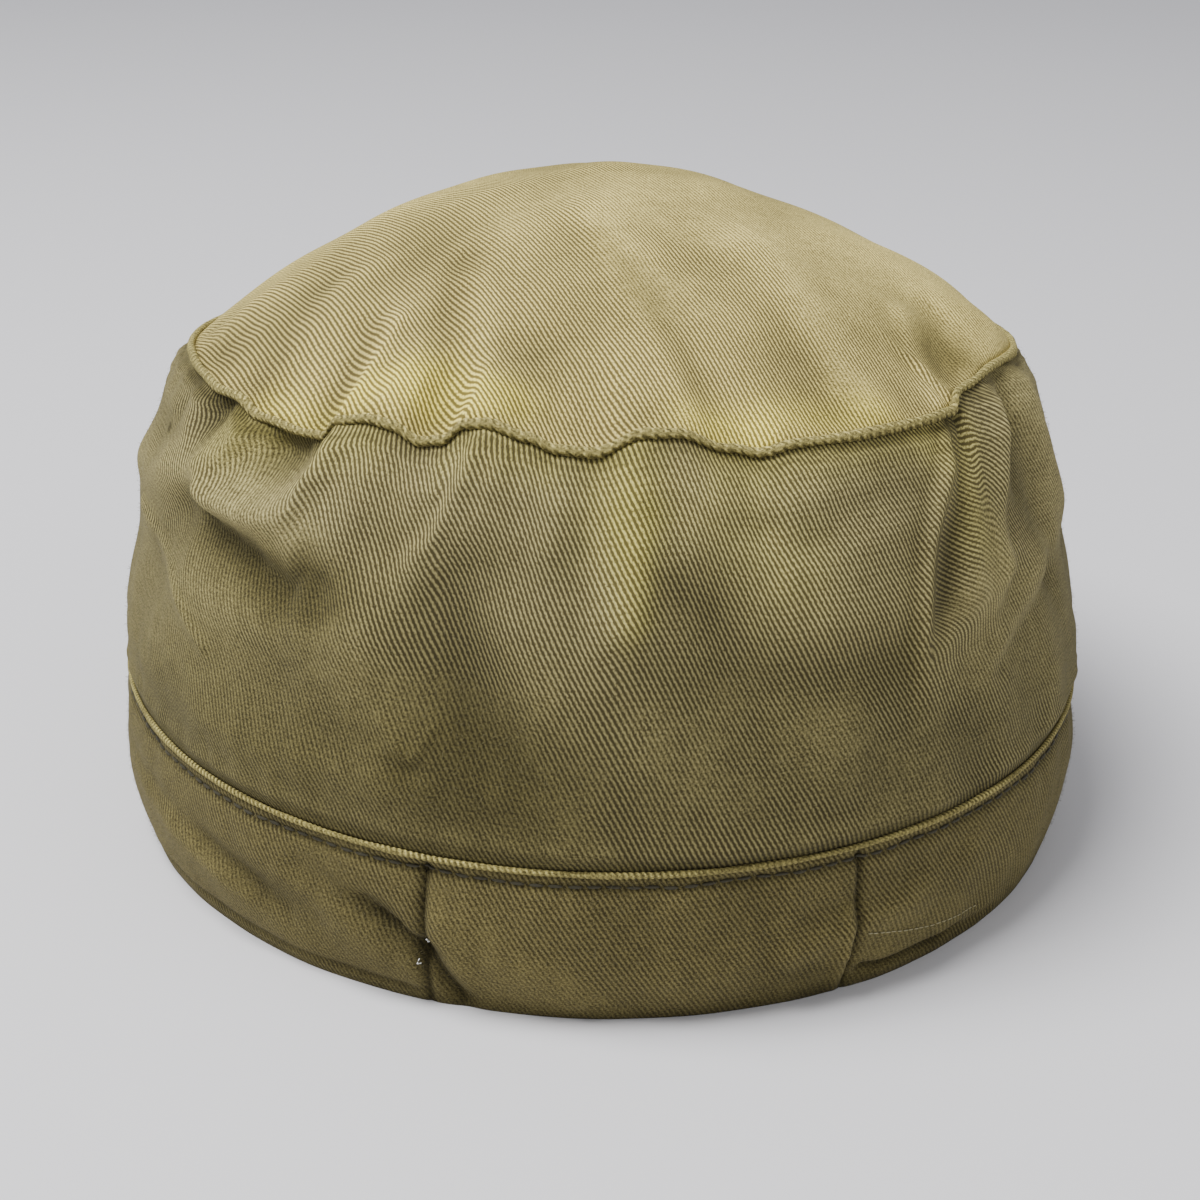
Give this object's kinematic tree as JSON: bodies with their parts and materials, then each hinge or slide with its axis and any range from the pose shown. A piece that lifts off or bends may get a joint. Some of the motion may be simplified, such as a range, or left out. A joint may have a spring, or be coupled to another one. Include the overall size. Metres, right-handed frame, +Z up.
{
  "type": "kepi cap",
  "caption": "Soft cloth kepi cap with a domed top panel, a folded side wall, rolled seams, a band elasticated at the rear and a short front peak.",
  "frame": {"origin": "middle of the cap's extent in plan, on the surface that its rim rests on", "axes": "+Z up, +Y toward the elasticated rear of the band, the peak toward -Y"},
  "size_m": [0.1816, 0.2518, 0.1182],
  "materials": {
    "top_cloth": "worn cotton twill, faded yellowish khaki",
    "side_cloth": "worn cotton twill, khaki",
    "band_cloth": "cotton twill, darker khaki, fuzzy at the hem",
    "seam_cloth": "rolled twill seam, rubbed lighter",
    "peak_cloth": "twill over a stiffener"
  },
  "bodies": {
    "root": {"crown_top": "top_cloth", "side_wall": "side_cloth", "band_rear": "band_cloth", "band_front": "band_cloth", "top_welt": "seam_cloth", "band_welt": "seam_cloth", "peak": "peak_cloth"}
  },
  "joints": []
}
